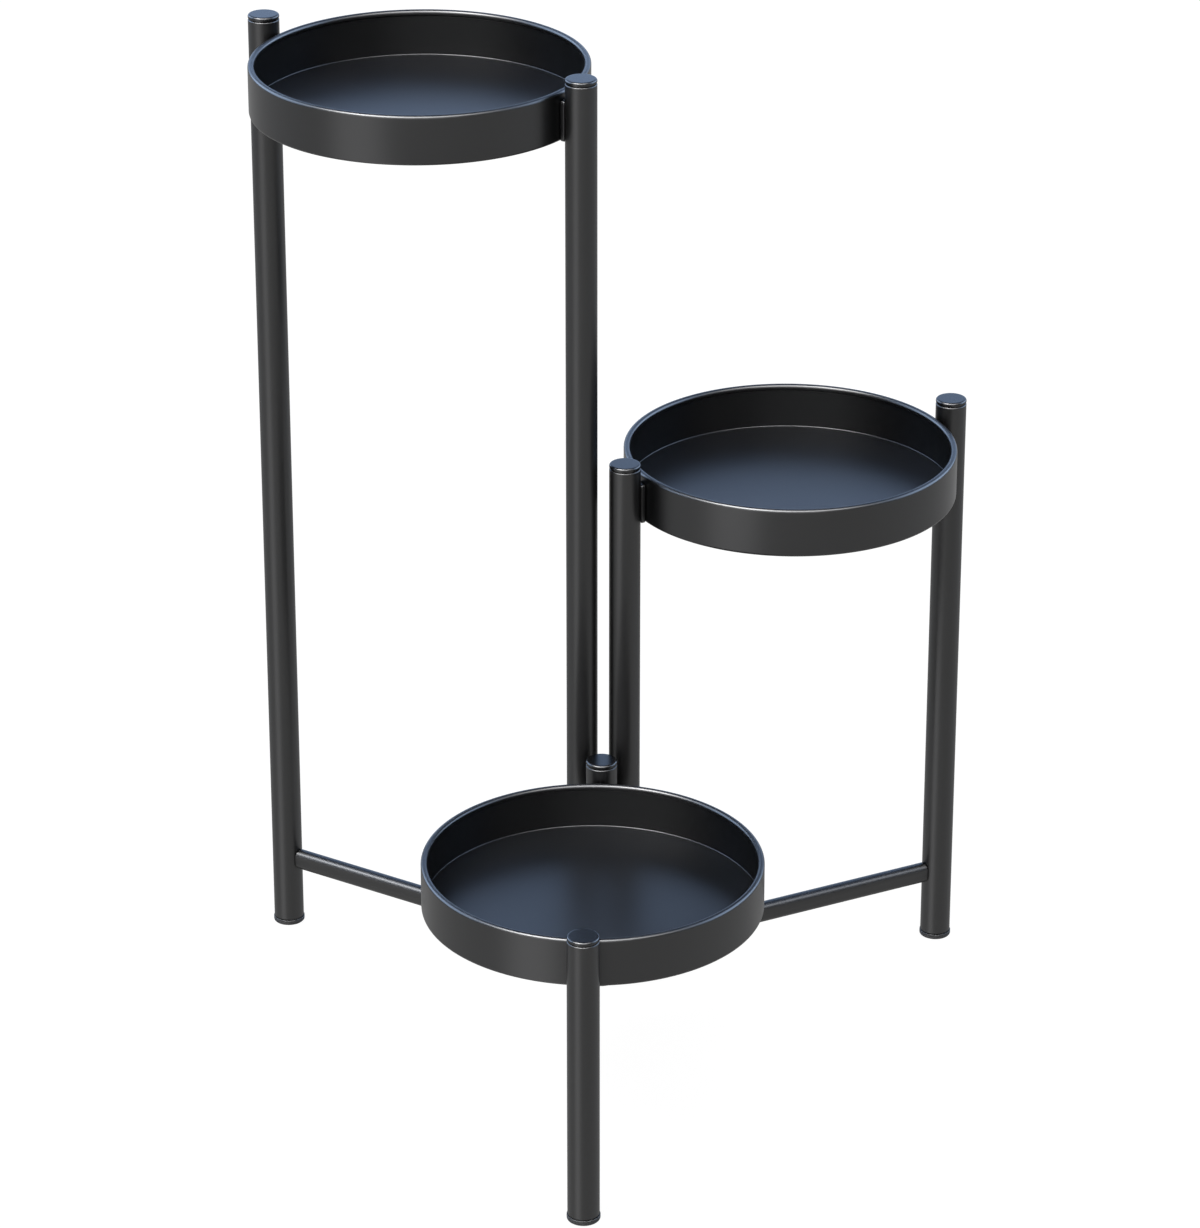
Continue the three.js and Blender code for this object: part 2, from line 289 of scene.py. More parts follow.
class Tree:
    """A node tree, shader or geometry, that is written one expression at a time."""

    def __init__(self, nodes):
        self.nodes = nodes

    def add(self, kind, settings=None, inputs=None):
        """Adds a node: its settings first, then the values or wires of its sockets."""
        node = self.nodes.nodes.new(kind)
        for name, value in (settings or {}).items():
            setattr(node, name, value)
        for name, value in (inputs or {}).items():
            self.feed(node.inputs[name], value)
        return node

    def feed(self, socket, value):
        """Links a wire to a socket, or sets the socket's own value."""
        if isinstance(value, Wire):
            self.nodes.links.new(value.socket, socket)
        else:
            socket.default_value = value

    def wire(self, node, output=0):
        """An output of a node, ready for arithmetic."""
        return Wire(self, node.outputs[output])

    def maths(self, operation, *terms):
        """A Math node on wires and numbers."""
        node = self.add("ShaderNodeMath", {"operation": operation}, dict(enumerate(terms)))
        return self.wire(node)

    def mix(self, factor, first, second):
        """Blends two colours by a factor."""
        node = self.add("ShaderNodeMix", {"data_type": "RGBA"}, {0: factor, 6: first, 7: second})
        return self.wire(node, 2)

    def noise(self, place, size, detail=2.0, roughness=0.5):
        """Soft noise from 0 to 1 whose features are about size metres apart."""
        inputs = {"Vector": place, "Scale": 1 / size, "Detail": detail, "Roughness": roughness}
        return self.wire(self.add("ShaderNodeTexNoise", None, inputs), "Fac")

    def aim(self, across, along, azimuth):
        """How squarely a flat direction points at an azimuth from the front, 1 when straight."""
        return across * math.sin(azimuth) - along * math.cos(azimuth)

    def step(self, value, start, end):
        """Goes smoothly from 0 at start to 1 at end."""
        settings = {"interpolation_type": "SMOOTHSTEP"}
        inputs = {"Value": value, "From Min": start, "From Max": end}
        return self.wire(self.add("ShaderNodeMapRange", settings, inputs), "Result")


# ---- Finishes --------------------------------------------------------------------------------
CLOUD_SIZE = 0.06
CLOUD_TONE = 0.12
CLOUD_GLOSS = 0.03
# Painted sheen: a blue-grey film that lightens faces looking up is partly dust and partly a
# stand-in for the sky's reflection.
DUST_AND_SHEEN_TILT = (0.75, 1.0)
DUST_AND_SHEEN_COLOUR = (0.15, 0.17, 0.21)
DUST_AND_SHEEN_PATCHES = 0.4
DUST_AND_SHEEN_ROUGHENS = 0.3
RIPPLE_SIZE = 6.0
RIPPLE_HEIGHT = 1.5
MOULD_FLOW = 0.012
MOULD_TONE = 0.1
MOULD_GLOSS = 0.04
MOULD_IOR = 1.45
TURNING_MARK = 0.0004
TURNING_HEIGHT = 0.00001
RUB_SIZE = 0.0016
RUB_EDGE = (0.55, 0.70)
RUB_SHINE = 3.0
MARK_ROUGHENS = 0.12
RUB_SMOOTHS = 0.10
CAP_GRAIN = (0.0008, 0.000008)
FOOT_GRAIN = (0.0007, 0.00003)
BRACKET_GRAIN = (0.0008, 0.00004)


def blank_material(name):
    """A material with an output node alone, and its tree."""
    material = bpy.data.materials.new(name)
    material.use_nodes = True
    material.node_tree.nodes.clear()
    return material, Tree(material.node_tree)


def surface(tree, inputs):
    """Adds the shader with these inputs, and sends it to the output."""
    shader = tree.add("ShaderNodeBsdfPrincipled", None, inputs)
    tree.add("ShaderNodeOutputMaterial", None, {"Surface": tree.wire(shader)})


def rgba(colour, strength=1.0):
    """A colour or a grey, made stronger or weaker, as a socket takes it."""
    return tuple(part * strength for part in colour) + (1.0,)


def powder_coat(name, colour, roughness, peel_size, peel_height, dust_and_sheen_share=0.0):
    """Satin powder coat: fine orange peel, faint cloudiness, and a blue-grey film where it faces
    up that is partly dust and partly a painted sheen of the sky.
    """
    material, tree = blank_material(name)
    place = tree.wire(tree.add("ShaderNodeTexCoord"), "Object")
    clouds = tree.noise(place, CLOUD_SIZE, detail=3.0)
    normal = tree.wire(tree.add("ShaderNodeNewGeometry"), "Normal")
    upward = tree.wire(tree.add("ShaderNodeSeparateXYZ", None, {"Vector": normal}), "Z")
    patchy = (1 - DUST_AND_SHEEN_PATCHES) + 2 * DUST_AND_SHEEN_PATCHES * clouds
    # Partly dust, partly painted sheen: this mask lightens upward faces and tints them blue.
    dust_and_sheen = tree.step(upward, *DUST_AND_SHEEN_TILT) * patchy * dust_and_sheen_share
    tone = tree.mix(clouds, rgba(colour, 1 - CLOUD_TONE), rgba(colour, 1 + CLOUD_TONE))
    peel = tree.noise(place, peel_size, detail=1.0)
    ripple = tree.noise(place, peel_size * RIPPLE_SIZE, detail=1.0)
    waves = peel + ripple * RIPPLE_HEIGHT
    relief = tree.add("ShaderNodeBump", None, {"Distance": peel_height, "Height": waves})
    gloss = roughness - CLOUD_GLOSS + 2 * CLOUD_GLOSS * clouds
    surface(
        tree,
        {
            "Base Color": tree.mix(dust_and_sheen, tone, rgba(DUST_AND_SHEEN_COLOUR)),
            "Roughness": gloss + DUST_AND_SHEEN_ROUGHENS * dust_and_sheen,
            "Normal": tree.wire(relief),
        },
    )
    return material


def moulded(name, colour, roughness, grain_size, grain_height):
    """Moulded plastic with the fine grain of a spark-eroded mould."""
    material, tree = blank_material(name)
    place = tree.wire(tree.add("ShaderNodeTexCoord"), "Object")
    flow = tree.noise(place, MOULD_FLOW, detail=2.0)
    grain = tree.noise(place, grain_size, detail=3.0, roughness=0.6)
    relief = tree.add("ShaderNodeBump", None, {"Distance": grain_height, "Height": grain})
    surface(
        tree,
        {
            "Base Color": tree.mix(
                flow, rgba(colour, 1 - MOULD_TONE), rgba(colour, 1 + MOULD_TONE)
            ),
            "Roughness": roughness - MOULD_GLOSS + MOULD_GLOSS * flow + MOULD_GLOSS * grain,
            "IOR": MOULD_IOR,
            "Normal": tree.wire(relief),
        },
    )
    return material


def blackened_steel(name, colour, roughness):
    """Blackened steel with fine turning marks and bare spots where a key has rubbed."""
    material, tree = blank_material(name)
    place = tree.wire(tree.add("ShaderNodeTexCoord"), "Object")
    marks = tree.noise(place, TURNING_MARK, detail=3.0)
    rubbed = tree.step(tree.noise(place, RUB_SIZE, detail=2.0), *RUB_EDGE)
    relief = tree.add("ShaderNodeBump", None, {"Distance": TURNING_HEIGHT, "Height": marks})
    surface(
        tree,
        {
            "Base Color": tree.mix(rubbed, rgba(colour), rgba(colour, RUB_SHINE)),
            "Metallic": 1.0,
            "Roughness": roughness + MARK_ROUGHENS * marks - RUB_SMOOTHS * rubbed,
            "Normal": tree.wire(relief),
        },
    )
    return material


def finish(slot):
    """The material for a slot of the record, made when it is first asked for."""
    name = f"stand_{slot}"
    made = bpy.data.materials.get(name)
    if made:
        return made
    looks = bpy.context.scene.stand_finish
    peel = (looks.peel_size, looks.peel_height)
    makers = {
        "post_paint": (powder_coat, "post", *peel),
        "tray_paint": (powder_coat, "tray", *peel, looks.tray_film),
        "cap_plastic": (moulded, "cap", *CAP_GRAIN),
        "foot_plastic": (moulded, "foot", *FOOT_GRAIN),
        "bracket_plastic": (moulded, "bracket", *BRACKET_GRAIN),
        "screw_steel": (blackened_steel, "screw"),
    }
    make, part, *settings = makers[slot]
    colour, roughness = getattr(looks, f"{part}_colour"), getattr(looks, f"{part}_roughness")
    return make(name, colour, roughness, *settings)


# ---- Outlines --------------------------------------------------------------------------------
def rounded_corner(before, corner, after, radius, steps):
    """Points along the arc that rounds one corner of an outline."""
    back = (before - corner).normalized()
    on = (after - corner).normalized()
    half = back.angle(on) / 2
    reach = radius / math.tan(half)
    middle = corner + (back + on).normalized() * (radius / math.sin(half))
    start = corner + back * reach - middle
    sweep = (corner + on * reach - middle).angle_signed(start)
    return [middle + Matrix.Rotation(sweep * step / steps, 2) @ start for step in range(steps + 1)]


def outline(corners, closed=False):
    """Points of an outline given as (x, y, rounding) corners.

    A long straight gets a point close to each of its ends, which keeps its shading flat.
    """
    places = [Vector(corner[:2]) for corner in corners]
    runs = []
    for index, (_, _, radius) in enumerate(corners):
        inner = closed or 0 < index < len(corners) - 1
        if radius and inner:
            after = places[(index + 1) % len(places)]
            before = places[index - 1]
            runs.append(rounded_corner(before, places[index], after, radius, ARC_STEPS))
        else:
            runs.append([places[index]])
    if closed:
        runs.append([runs[0][0]])
    points = []
    for run in runs:
        if points and (run[0] - points[-1]).length > 4 * HOLDING_RING:
            along = (run[0] - points[-1]).normalized() * HOLDING_RING
            points += [points[-1] + along, run[0] - along]
        if points:
            run = [point for point in run if (point - points[-1]).length > MERGE_DISTANCE]
        points += run
    return points


# ---- Geometry node trees ---------------------------------------------------------------------
SOCKETS = {
    "Geometry": "NodeSocketGeometry",
    "Sides": "NodeSocketInt",
    "Count": "NodeSocketInt",
    "Start": "NodeSocketVector",
    "Step": "NodeSocketVector",
    "Bearing": "NodeSocketFloat",
    "Turn Each": "NodeSocketFloat",
    "Material": "NodeSocketMaterial",
}


def turn_profile(tree, profile, sides):
    """Turns a profile of points about Z: a grid is laid on it, one column for each side."""
    size = tree.add("GeometryNodeAttributeDomainSize", None, {"Geometry": profile})
    rows = tree.wire(size, "Point Count")
    grid = tree.add(
        "GeometryNodeMeshGrid",
        None,
        {"Size X": 1.0, "Size Y": 1.0, "Vertices X": sides + 1, "Vertices Y": rows},
    )
    place = tree.wire(tree.add("GeometryNodeInputPosition"))
    on_grid = tree.add("ShaderNodeSeparateXYZ", None, {"Vector": place})
    angle = (tree.wire(on_grid, "X") + 0.5) * math.tau
    row = tree.maths("ROUND", (tree.wire(on_grid, "Y") + 0.5) * (rows - 1))
    sample = tree.add(
        "GeometryNodeSampleIndex",
        {"data_type": "FLOAT_VECTOR", "domain": "POINT"},
        {"Geometry": profile, "Value": place, "Index": row},
    )
    on_profile = tree.add("ShaderNodeSeparateXYZ", None, {"Vector": tree.wire(sample)})
    radius = tree.wire(on_profile, "X")
    turned = tree.add(
        "ShaderNodeCombineXYZ",
        None,
        {
            "X": radius * tree.maths("COSINE", angle),
            "Y": radius * tree.maths("SINE", angle),
            "Z": tree.wire(on_profile, "Z"),
        },
    )
    laid = tree.add(
        "GeometryNodeSetPosition",
        None,
        {"Geometry": tree.wire(grid, "Mesh"), "Position": tree.wire(turned)},
    )
    joined = tree.add(
        "GeometryNodeMergeByDistance",
        None,
        {"Geometry": tree.wire(laid), "Distance": MERGE_DISTANCE},
    )
    return tree.wire(joined)


def row_tree(name, turned):
    """A tree that sets copies in a row; a turned one first turns its mesh as a profile."""
    group = bpy.data.node_groups.new(name, "GeometryNodeTree")
    for socket, kind in SOCKETS.items():
        group.interface.new_socket(socket, in_out="INPUT", socket_type=kind)
    group.interface.new_socket("Geometry", in_out="OUTPUT", socket_type="NodeSocketGeometry")
    tree = Tree(group)
    given = tree.add("NodeGroupInput")
    form = tree.wire(given, "Geometry")
    if turned:
        form = turn_profile(tree, form, tree.wire(given, "Sides"))
    places = tree.add(
        "GeometryNodeMeshLine",
        None,
        {
            "Count": tree.wire(given, "Count"),
            "Start Location": tree.wire(given, "Start"),
            "Offset": tree.wire(given, "Step"),
        },
    )
    index = tree.wire(tree.add("GeometryNodeInputIndex"))
    turn = tree.wire(given, "Bearing") + index * tree.wire(given, "Turn Each")
    facing = tree.add("ShaderNodeCombineXYZ", None, {"Z": turn})
    copies = tree.add(
        "GeometryNodeInstanceOnPoints",
        None,
        {"Points": tree.wire(places), "Instance": form, "Rotation": tree.wire(facing)},
    )
    real = tree.add("GeometryNodeRealizeInstances", None, {"Geometry": tree.wire(copies)})
    painted = tree.add(
        "GeometryNodeSetMaterial",
        None,
        {"Geometry": tree.wire(real), "Material": tree.wire(given, "Material")},
    )
    tree.add("NodeGroupOutput", None, {"Geometry": tree.wire(painted)})
    return group


def shared_tree(name, turned):
    """The row tree of this name, built once."""
    return bpy.data.node_groups.get(name) or row_tree(name, turned)


# ---- Making meshes ---------------------------------------------------------------------------
def set_out(name, data):
    """A new object in the scene for a mesh, a light or a camera."""
    made = bpy.data.objects.new(name, data)
    bpy.context.scene.collection.objects.link(made)
    return made


def profile_mesh(name, corners, closed=False):
    """A line of points in the XZ plane, radius along X, for a tree to turn about Z."""
    mesh = bpy.data.meshes.new(name)
    points = [(point.x, 0.0, point.y) for point in outline(corners, closed)]
    mesh.from_pydata(points, [(index, index + 1) for index in range(len(points) - 1)], [])
    return mesh


def set_in_row(
    name, mesh, slot, start, step=(0, 0, 0), count=1, bearing=0.0, turn_each=0.0, sides=0
):
    """Runs a row tree on a mesh, and leaves an object with the plain mesh that it makes."""
    tree = shared_tree("turned_row" if sides else "plain_row", turned=bool(sides))
    values = {
        "Sides": sides,
        "Count": count,
        "Start": tuple(start),
        "Step": tuple(step),
        "Bearing": bearing,
        "Turn Each": turn_each,
        "Material": finish(slot),
    }
    piece = set_out(name, mesh)
    nodes = piece.modifiers.new("row", "NODES")
    nodes.node_group = tree
    for socket in tree.interface.items_tree:
        if socket.in_out == "INPUT" and socket.name in values:
            nodes[socket.identifier] = values[socket.name]
    depsgraph = bpy.context.evaluated_depsgraph_get()
    made = bpy.data.meshes.new_from_object(piece.evaluated_get(depsgraph))
    piece.modifiers.clear()
    piece.data = made
    made.name = name
    bpy.data.meshes.remove(mesh)
    return piece


def turned_mesh(name, corners, sides):
    """The plain mesh of one turned form that stands on the origin, for a cut to use."""
    profile = profile_mesh(name, corners)
    blank = set_in_row(name, profile, "bracket_plastic", (0, 0, 0), sides=sides)
    mesh = blank.data
    bpy.data.objects.remove(blank)
    return mesh


def joined_mesh(name, meshes):
    """Several meshes with their matrices, as one mesh of separate shells."""
    joined = bpy.data.meshes.new(name)
    shell = bmesh.new()
    for mesh, matrix in meshes:
        moved = mesh.copy()
        moved.transform(matrix)
        shell.from_mesh(moved)
        bpy.data.meshes.remove(moved)
    shell.to_mesh(joined)
    shell.free()
    return joined


def cut_mesh(name, bodies, cutters):
    """Joins overlapping bodies into one solid, and takes the cutters out of it."""
    whole = set_out(name, joined_mesh(name, bodies))
    tool = set_out(f"{name}_cutters", joined_mesh(f"{name}_cutters", cutters))
    cut = whole.modifiers.new("cut", "BOOLEAN")
    cut.operation = "DIFFERENCE"
    cut.solver = "EXACT"
    cut.use_self = True
    cut.object = tool
    depsgraph = bpy.context.evaluated_depsgraph_get()
    made = bpy.data.meshes.new_from_object(whole.evaluated_get(depsgraph))
    for item in (whole, tool):
        bpy.data.objects.remove(item)
    return made


def lofted_mesh(name, sections):
    """A closed mesh over rings of equal point counts, its two ends filled."""
    solid = bmesh.new()
    rings = [[solid.verts.new(point) for point in section] for section in sections]
    for ring, following in zip(rings, rings[1:]):
        for index in range(len(ring)):
            on = (index + 1) % len(ring)
            solid.faces.new((ring[index], ring[on], following[on], following[index]))
    solid.faces.new(rings[0])
    solid.faces.new(rings[-1])
    bmesh.ops.recalc_face_normals(solid, faces=solid.faces)
    mesh = bpy.data.meshes.new(name)
    solid.to_mesh(mesh)
    solid.free()
    return mesh


def coped_bar_mesh(name, width, height, corner, end_rounding, start_at, end_at):
    """A bar along X with rounded corners and ends; start_at and end_at place its ends for a y."""
    half_width, half_height = width / 2, height / 2
    edge = outline(
        [
            (-half_width, 0.0, 0.0),
            (-half_width, half_height, corner),
            (half_width, half_height, corner),
            (half_width, 0.0, 0.0),
        ]
    )
    across = [point for point in edge if point.y > half_height - corner - MERGE_DISTANCE]
    sections = []
    for y, z in across:
        depth = min(max(half_width - abs(y), 0.0), end_rounding)
        inset = end_rounding - math.sqrt(end_rounding**2 - (end_rounding - depth) ** 2)
        start, end = start_at(y) + inset, end_at(y) - inset
        places = [Vector(place) for place in ((start, -z), (end, -z), (end, z), (start, z))]
        section = []
        for before, place, after in zip(places[-1:] + places, places, places[1:] + places[:1]):
            arc = rounded_corner(before, place, after, end_rounding, END_STEPS)
            lead_in = arc[0] + (before - arc[0]).normalized() * HOLDING_RING
            lead_out = arc[-1] + (after - arc[-1]).normalized() * HOLDING_RING
            section += [lead_in, *arc, lead_out]
        sections.append([(point.x, y, point.y) for point in section])
    return lofted_mesh(name, sections)


def finish_piece(piece, slot, body, *nodes):
    """Checks that a piece is a closed solid, shades it, and hands it to the frame."""
    solid = bmesh.new()
    solid.from_mesh(piece.data)
    is_closed = all(len(edge.link_faces) == 2 for edge in solid.edges)
    volume = solid.calc_volume(signed=True)
    solid.free()
    if not is_closed or volume <= 0:
        raise RuntimeError(f"{piece.name} isn't a closed solid that faces out")
    piece.data.shade_smooth()
    piece.data.set_sharp_from_angle(angle=SHARP_ANGLE)
    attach(piece, body)
    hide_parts(*nodes)


def finish_pair(piece, slot, tier, part):
    """Hands over a piece that stands for a frame's centre part and outer part."""
    finish_piece(piece, slot, f"{tier}_frame", *(f"{tier}_{side}_{part}" for side in SIDES))


def turned_pair(tier, part, corners, slot, sides):
    """Turns a profile, sets it at a frame's centre and outer post, and hands it over."""
    start, end = (base_of(f"{tier}_{side}_{part}") for side in SIDES)
    name = f"{tier}_{part}_pair"
    profile = profile_mesh(name, corners)
    piece = set_in_row(name, profile, slot, start, step=end - start, count=2, sides=sides)
    finish_pair(piece, slot, tier, part)


# ---- Operators: the stand's pieces -----------------------------------------------------------
class STAND_OT_posts(bpy.types.Operator):
    """Forms the round tube posts, their cut ends rounded over"""

    bl_idname = "stand.posts"
    bl_label = "Posts"

    def execute(self, context):
        sizes = context.scene.stand_sizes
        bore = POST_RADIUS - sizes.tube_wall
        for tier, side in itertools.product(TIERS, SIDES):
            node = f"{tier}_{side}_post"
            height = height_of(node)
            corners = [
                (bore, 0, sizes.inner_edge),
                (POST_RADIUS, 0, sizes.tube_edge),
                (POST_RADIUS, height, sizes.tube_edge),
                (bore, height, sizes.inner_edge),
            ]
            name = f"{tier}_{side}_tube"
            profile = profile_mesh(name, corners, closed=True)
            start = base_of(node)
            piece = set_in_row(name, profile, "post_paint", start, sides=sizes.post_sides)
            finish_piece(piece, "post_paint", f"{tier}_frame", node)
        return {"FINISHED"}


class STAND_OT_caps(bpy.types.Operator):
    """Forms the plug caps: stem, narrow neck and flat round head"""

    bl_idname = "stand.caps"
    bl_label = "Caps"

    def execute(self, context):
        sizes = context.scene.stand_sizes
        plug = POST_RADIUS - sizes.tube_wall - sizes.play
        neck = POST_RADIUS - sizes.cap_groove
        for tier in TIERS:
            top = height_of(f"{tier}_centre_cap")
            under_head = top - sizes.cap_head
            under_neck = under_head - sizes.cap_neck
            corners = [
                (0, 0, 0),
                (plug - sizes.plug_taper, 0, 0),
                (plug, sizes.plug_taper, 0),
                (plug, under_neck, 0),
                (neck, under_neck, 0),
                (neck, under_head, 0),
                (POST_RADIUS, under_head, sizes.cap_lip),
                (POST_RADIUS, top, sizes.cap_rounding),
                (0, top, 0),
            ]
            turned_pair(tier, "cap", corners, "cap_plastic", sizes.post_sides)
        return {"FINISHED"}


class STAND_OT_feet(bpy.types.Operator):
    """Forms the plug feet under the posts"""

    bl_idname = "stand.feet"
    bl_label = "Feet"

    def execute(self, context):
        sizes = context.scene.stand_sizes
        plug = POST_RADIUS - sizes.tube_wall - sizes.play
        for tier in TIERS:
            end = height_of(f"{tier}_centre_foot")
            shoulder = sizes.foot_height
            corners = [
                (0, 0, 0),
                (FOOT_RADIUS, 0, sizes.foot_rounding),
                (FOOT_RADIUS, shoulder, sizes.cap_lip),
                (plug, shoulder, 0),
                (plug, end - sizes.plug_taper, 0),
                (plug - sizes.plug_taper, end, 0),
                (0, end, 0),
            ]
            turned_pair(tier, "foot", corners, "foot_plastic", sizes.post_sides)
        return {"FINISHED"}


class STAND_OT_trays(bpy.types.Operator):
    """Forms the drawn sheet trays with their rolled rims"""

    bl_idname = "stand.trays"
    bl_label = "Trays"

    def execute(self, context):
        sizes = context.scene.stand_sizes
        wall = TRAY_RADIUS - sizes.tray_sheet
        mouth = TRAY_RADIUS - sizes.rim_width
        for tier in TIERS:
            node = f"{tier}_tray"
            floor, top = sizes.tray_sheet, height_of(node)
            curl = top - sizes.rim_curl
            corners = [
                (0, 0, 0),
                (TRAY_RADIUS, 0, sizes.base_rounding),
                (TRAY_RADIUS, top, sizes.rim_width / 2),
                (mouth, top, sizes.rim_width / 2),
                (mouth, curl, sizes.rim_edge),
                (wall, curl - sizes.tray_sheet, sizes.tray_sheet),
                (wall, floor, sizes.floor_fillet),
                (0, floor, 0),
            ]
            name = f"{tier}_drawn_tray"
            profile = profile_mesh(name, corners)
            start = base_of(node)
            piece = set_in_row(name, profile, "tray_paint", start, sides=sizes.tray_sides)
            finish_piece(piece, "tray_paint", f"{tier}_frame", node)
        return {"FINISHED"}


class STAND_OT_tray_lugs(bpy.types.Operator):
    """Forms the lugs that carry each tray on its posts, hollowed to seat on both round walls"""

    bl_idname = "stand.tray_lugs"
    bl_label = "Tray lugs"

    def execute(self, context):
        sizes = context.scene.stand_sizes
        post_seat = POST_RADIUS + sizes.play
        tray_seat = TRAY_RADIUS + sizes.play
        for tier in TIERS:
            node = f"{tier}_centre_tray_lug"
            name = f"{tier}_tray_lugs"
            mesh = coped_bar_mesh(
                name,
                sizes.lug_width,
                height_of(node),
                sizes.lug_corner,
                sizes.end_rounding,
                lambda y: math.sqrt(post_seat**2 - y**2),
                lambda y: POST_SPACING / 2 - math.sqrt(tray_seat**2 - y**2),
            )
            start = at_height(on_floor(f"{tier}_centre_post"), node)
            piece = set_in_row(
                name,
                mesh,
                "tray_paint",
                start,
                step=run_of(tier),
                count=2,
                bearing=bearing_of(tier),
                turn_each=math.pi,
            )
            finish_pair(piece, "tray_paint", tier, "tray_lug")
        return {"FINISHED"}


class STAND_OT_crossbars(bpy.types.Operator):
    """Forms the flat bars between the posts, their ends hollowed to fit round them"""

    bl_idname = "stand.crossbars"
    bl_label = "Crossbars"

    def execute(self, context):
        sizes = context.scene.stand_sizes
        seat = POST_RADIUS + sizes.play
        for tier in TIERS:
            node = f"{tier}_crossbar"
            name = f"{tier}_flat_bar"
            mesh = coped_bar_mesh(
                name,
                sizes.bar_width,
                height_of(node),
                sizes.bar_corner,
                sizes.end_rounding,
                lambda y: math.sqrt(seat**2 - y**2),
                lambda y: POST_SPACING - math.sqrt(seat**2 - y**2),
            )
            start = at_height(on_floor(f"{tier}_centre_post"), node)
            piece = set_in_row(name, mesh, "post_paint", start, bearing=bearing_of(tier))
            finish_piece(piece, "post_paint", f"{tier}_frame", node)
        return {"FINISHED"}


def hub_directions():
    """Bearing of each centre post from the hub, in order round it."""
    return sorted(bearing_of(tier) % math.tau for tier in TIERS)


def web_ring(sizes, inset, height):
    """Plan of the brackets' web, drawn in by an inset: an arc round each post, hollows between."""
    reach = sizes.web_reach - inset
    hollow = sizes.web_hollow + inset
    third = math.pi / 3
    distance = HUB_RADIUS * math.cos(third)
    distance += math.sqrt((sizes.web_reach + sizes.web_hollow) ** 2 - (HUB_SPACING / 2) ** 2)
    sweep = math.atan2(distance * math.sin(third), distance * math.cos(third) - HUB_RADIUS)
    points = []
    for out in hub_directions():
        post = Vector((math.cos(out), math.sin(out))) * HUB_RADIUS
        between = out + third
        dip = Vector((math.cos(between), math.sin(between))) * distance
        arcs = (
            (post, reach, out - sweep, out + sweep, 3 * ARC_STEPS),
            (dip, hollow, out + sweep + math.pi, out + math.pi + 2 * third - sweep, 2 * ARC_STEPS),
        )
        for middle, radius, start, end, steps in arcs:
            for step in range(steps):
                angle = start + (end - start) * step / steps
                x = middle.x + radius * math.cos(angle)
                y = middle.y + radius * math.sin(angle)
                points.append((x, y, height))
    return points


def web_mesh(sizes):
    """The web between the barrels, its edges rounded over."""
    half = sizes.web_height / 2
    bevel = sizes.web_bevel
    levels = []
    for step in range(ARC_STEPS + 1):
        angle = math.pi / 2 * step / ARC_STEPS
        levels.append((bevel * (1 - math.sin(angle)), half - bevel * (1 - math.cos(angle))))
    rings = [web_ring(sizes, inset, -height) for inset, height in levels]
    rings += [web_ring(sizes, inset, height) for inset, height in reversed(levels)]
    return lofted_mesh("web", rings)


def facing_out(tier):
    """Lays a form that stands on Z out from a frame's centre post, away from the hub."""
    post = on_floor(f"{tier}_centre_post") - hub()
    lying = Matrix.Rotation(math.pi / 2, 4, "Y")
    return Matrix.Translation(post) @ Matrix.Rotation(bearing_of(tier), 4, "Z") @ lying


def set_at_levels(mesh, form, part, slot):
    """Sets copies of a mesh in the hub at the brackets' two levels, and hands them over."""
    for level in BRACKET_LEVELS:
        node = f"{level}_{part}"
        piece = set_in_row(f"{level}_{form}", mesh.copy(), slot, at_height(hub(), node))
        finish_piece(piece, slot, "tall_frame", node)
    bpy.data.meshes.remove(mesh)


class STAND_OT_hinge_brackets(bpy.types.Operator):
    """Forms the hinge brackets: three bored barrels on one web, and a boss for the screw"""

    bl_idname = "stand.hinge_brackets"
    bl_label = "Hinge brackets"

    def execute(self, context):
        sizes = context.scene.stand_sizes
        half = height_of("lower_hinge_bracket") / 2
        bore = sizes.barrel_bore
        outer = bore + sizes.barrel_wall
        rounding = sizes.barrel_rounding
        barrel = turned_mesh(
            "barrel",
            [(0, -half, 0), (outer, -half, rounding), (outer, half, rounding), (0, half, 0)],
            sizes.post_sides,
        )
        reamer = turned_mesh(
            "reamer",
            [(0, -2 * half, 0), (bore, -2 * half, 0), (bore, 2 * half, 0), (0, 2 * half, 0)],
            sizes.post_sides,
        )
        boss = turned_mesh(
            "boss",
            [
                (0, bore + sizes.play, 0),
                (sizes.boss_radius, bore + sizes.play, 0),
                (sizes.boss_radius, sizes.boss_reach, sizes.boss_rounding),
                (0, sizes.boss_reach, 0),
            ],
            sizes.small_sides,
        )
        hole = sizes.screw_radius + sizes.play
        drill = turned_mesh(
            "drill",
            [(0, 0, 0), (hole, 0, 0), (hole, 2 * bore, 0), (0, 2 * bore, 0)],
            sizes.small_sides,
        )
        posts = [Matrix.Translation(on_floor(f"{tier}_centre_post") - hub()) for tier in TIERS]
        lying = facing_out("tall")
        bodies = [(web_mesh(sizes), Matrix()), (boss, lying)] + [(barrel, post) for post in posts]
        cutters = [(drill, lying)] + [(reamer, post) for post in posts]
        bracket = cut_mesh("bracket", bodies, cutters)
        set_at_levels(bracket, "three_barrel_bracket", "hinge_bracket", "bracket_plastic")
        return {"FINISHED"}


